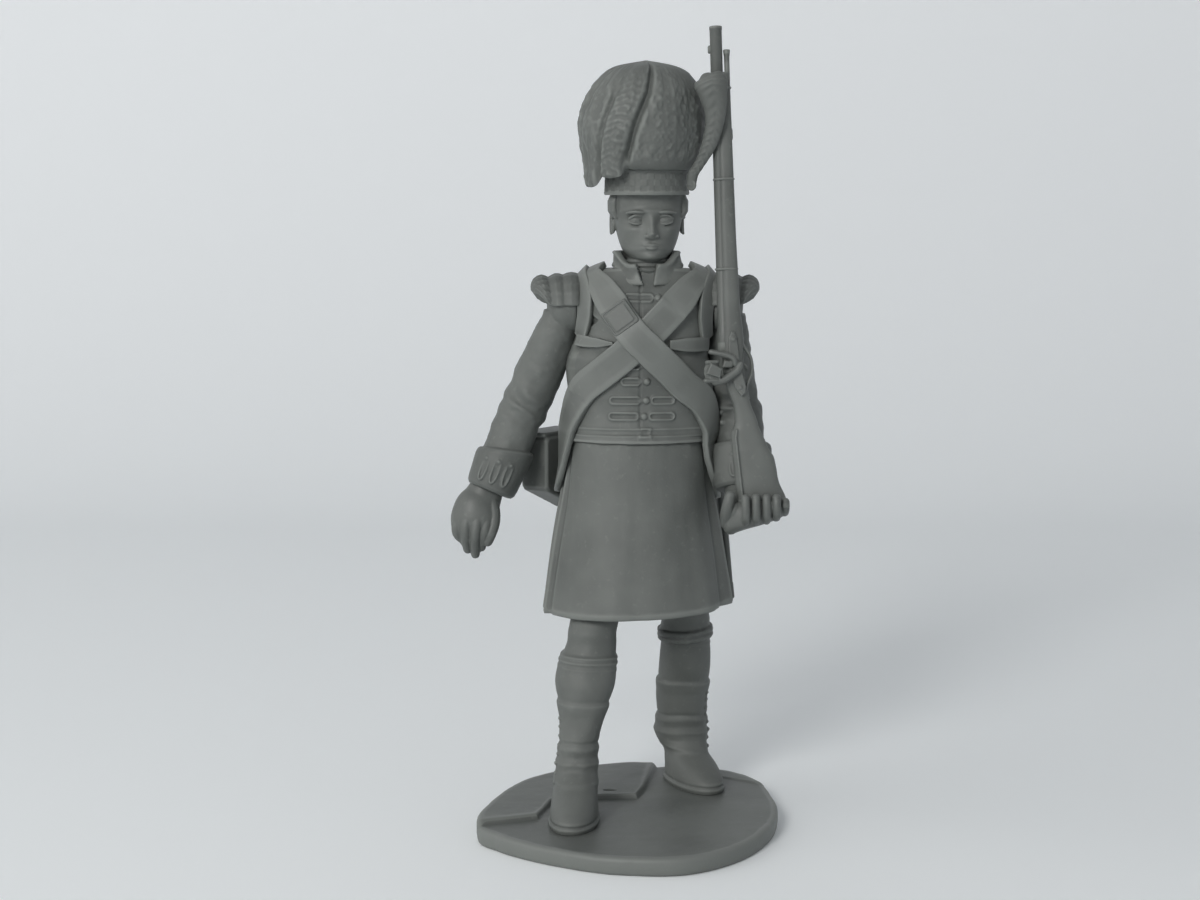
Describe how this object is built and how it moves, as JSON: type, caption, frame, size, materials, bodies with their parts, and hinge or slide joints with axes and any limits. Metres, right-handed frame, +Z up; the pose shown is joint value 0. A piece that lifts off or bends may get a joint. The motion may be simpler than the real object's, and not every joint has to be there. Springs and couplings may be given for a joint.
{
  "type": "toy soldier figure",
  "caption": "Toy soldier figure: Highland infantryman in feather bonnet and kilt, musket at the shoulder, on an oval base; the head turns and the right arm swings on pegs.",
  "frame": {"origin": "centre of the base's underside, where the figure stands", "axes": "+Z up; the figure faces -Y and its left hand is towards +X"},
  "size_m": [0.0306, 0.0305, 0.0725],
  "materials": {
    "figure_plastic": "matte, faintly satin, moulded in one colour"
  },
  "bodies": {
    "figure": {"base_plate": "figure_plastic", "right_leg": "figure_plastic", "left_leg": "figure_plastic", "kilt": "figure_plastic", "torso": "figure_plastic", "left_arm": "figure_plastic", "left_hand": "figure_plastic", "right_wing": "figure_plastic", "left_wing": "figure_plastic", "bayonet_belt": "figure_plastic", "pouch_belt": "figure_plastic", "belt_plate": "figure_plastic", "cartridge_box": "figure_plastic", "bayonet_scabbard": "figure_plastic", "knapsack": "figure_plastic", "right_pack_strap": "figure_plastic", "left_pack_strap": "figure_plastic", "chest_strap": "figure_plastic", "musket_stock": "figure_plastic", "musket_barrel": "figure_plastic", "musket_lock": "figure_plastic", "trigger_guard": "figure_plastic", "ramrod": "figure_plastic"},
    "head_and_bonnet": {"head": "figure_plastic", "bonnet": "figure_plastic", "hackle": "figure_plastic"},
    "right_arm_and_hand": {"right_arm": "figure_plastic", "right_hand": "figure_plastic"}
  },
  "joints": [
    {"name": "neck_turn", "type": "hinge", "parent": "figure", "child": "head_and_bonnet", "pos_m": [0.0019, 0.0039, 0.0505], "axis": [0, 0, 1], "range_deg": [-25, 0]},
    {"name": "right_shoulder_swing", "type": "hinge", "parent": "figure", "child": "right_arm_and_hand", "pos_m": [-0.0046, 0.0042, 0.0475], "axis": [-1, 0, 0], "range_deg": [0, 40]}
  ]
}
